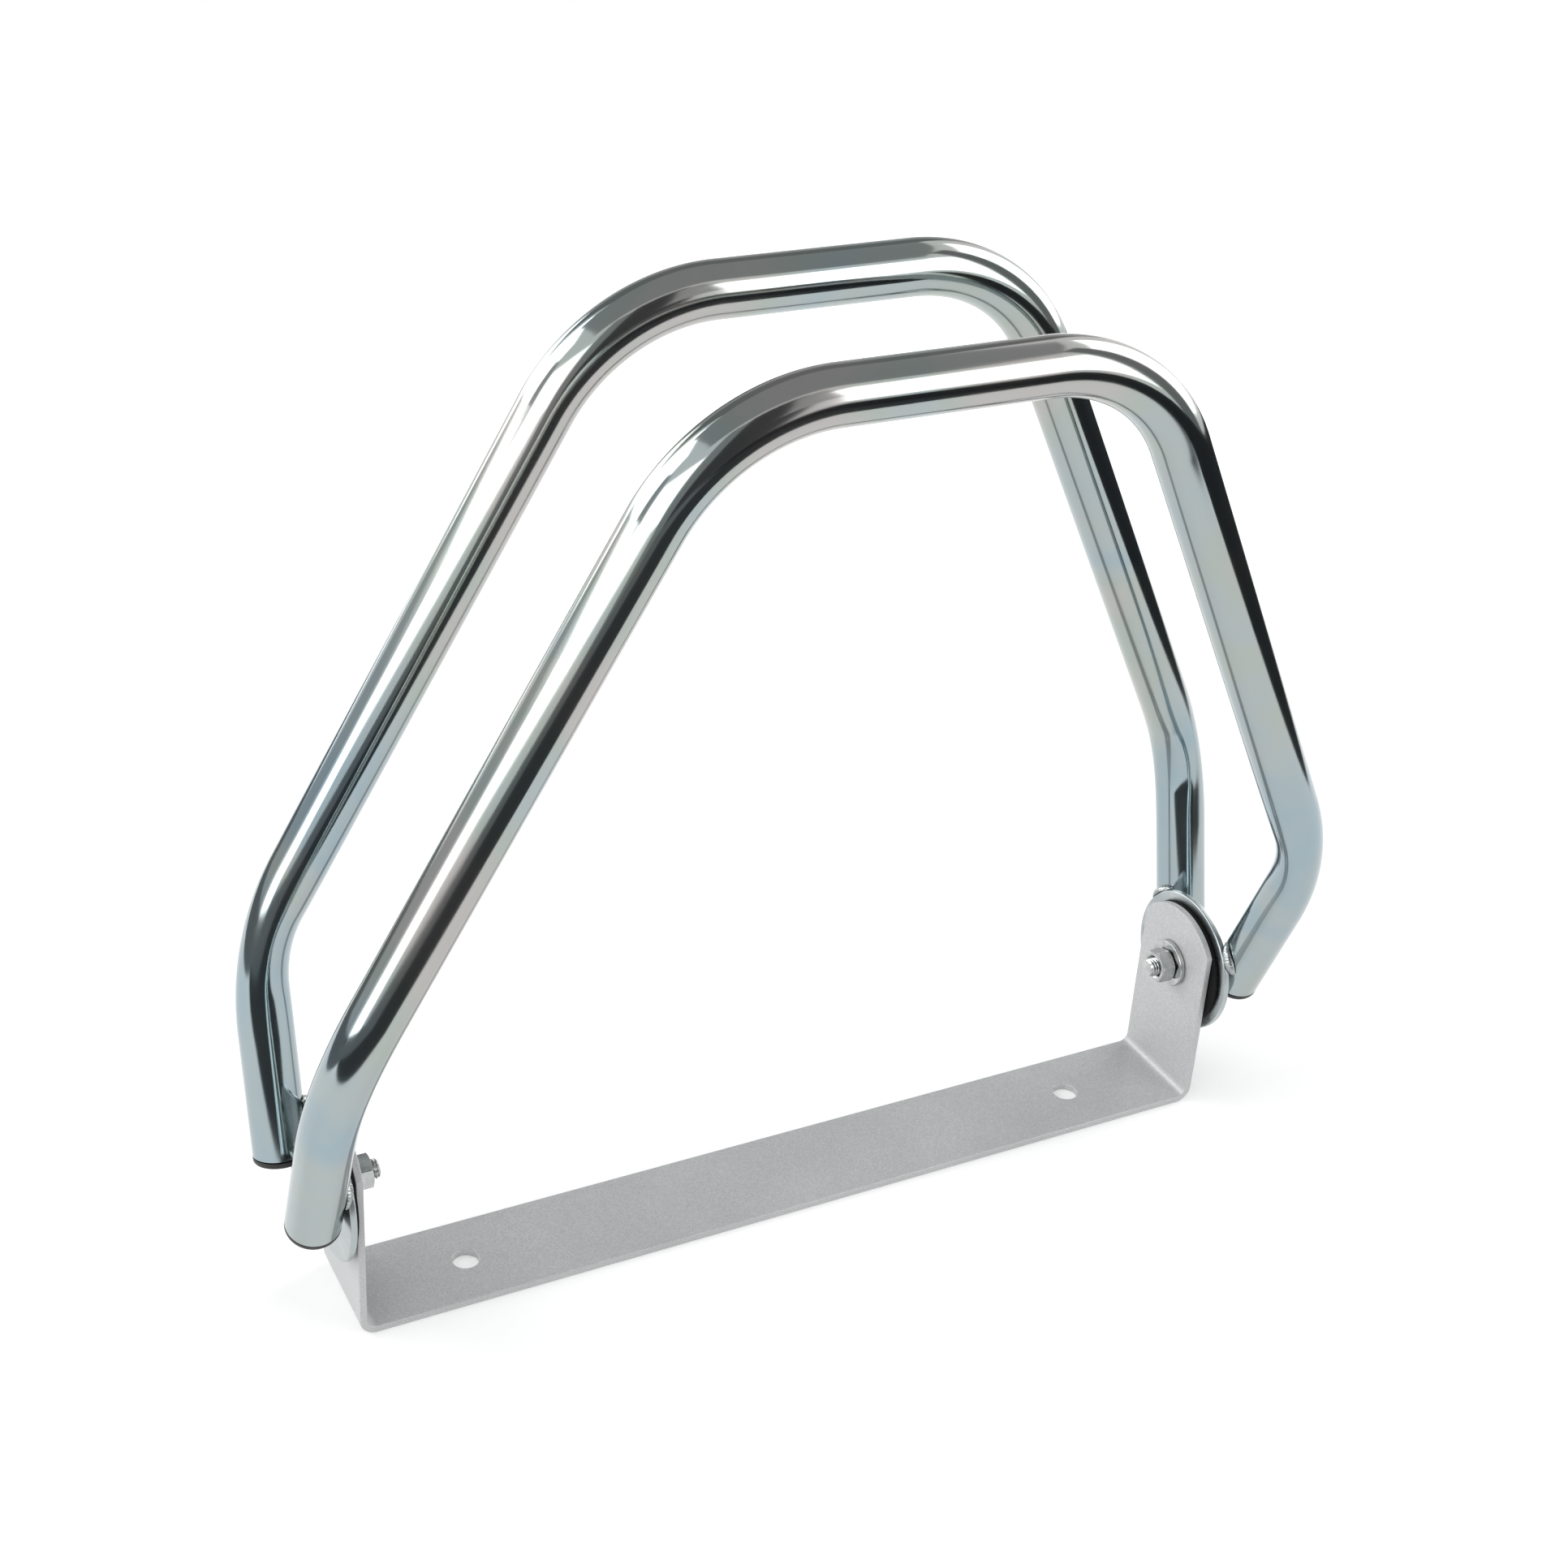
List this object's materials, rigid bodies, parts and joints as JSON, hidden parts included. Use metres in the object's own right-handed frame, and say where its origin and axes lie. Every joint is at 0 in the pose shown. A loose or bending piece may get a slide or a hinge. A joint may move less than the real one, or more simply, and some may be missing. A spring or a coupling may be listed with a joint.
{
  "type": "wall bike holder",
  "caption": "Folded steel strip for wall screws that carries parallel bent-tube hoops on friction pivots, to hold a bicycle wheel upright between them.",
  "frame": {"origin": "middle of the strip's underside, on the wall plane, halfway between the screw holes", "axes": "+X along the strip and the bolt axis, from the left ear to the right one; +Z out of the wall; -Y is the front, to which the hoops lean a little"},
  "size_m": [0.33, 0.0951, 0.2972],
  "materials": {
    "strip_paint": "matte silver-grey paint with a fine grain",
    "hoop_zinc": "bright zinc plating with a faint blue-green tint",
    "plate_zinc": "bright zinc plating over rolled sheet",
    "bolt_zinc": "bright zinc plating",
    "weld_metal": "plated weld, lightly rippled",
    "disc_rubber": "matte black",
    "plug_plastic": "black, slightly glossy"
  },
  "bodies": {
    "bracket": {"bracket": "strip_paint", "left_friction_disc": "disc_rubber", "right_friction_disc": "disc_rubber", "left_pivot_bolt": "bolt_zinc", "right_pivot_bolt": "bolt_zinc", "left_washer": "bolt_zinc", "right_washer": "bolt_zinc", "left_lock_nut": "bolt_zinc", "right_lock_nut": "bolt_zinc"},
    "hoops": {"front_hoop": "hoop_zinc", "rear_hoop": "hoop_zinc", "left_pivot_plate": "plate_zinc", "right_pivot_plate": "plate_zinc", "front_left_plug": "plug_plastic", "front_right_plug": "plug_plastic", "rear_left_plug": "plug_plastic", "rear_right_plug": "plug_plastic", "front_left_face_weld": "weld_metal", "front_left_rim_weld": "weld_metal", "front_right_face_weld": "weld_metal", "front_right_rim_weld": "weld_metal", "rear_left_face_weld": "weld_metal", "rear_left_rim_weld": "weld_metal", "rear_right_face_weld": "weld_metal", "rear_right_rim_weld": "weld_metal"}
  },
  "joints": [
    {"name": "hoop_swing", "type": "hinge", "parent": "bracket", "child": "hoops", "pos_m": [0, 0, 0.045], "axis": [1, 0, 0], "range_deg": [-93.9, 86.1]}
  ]
}
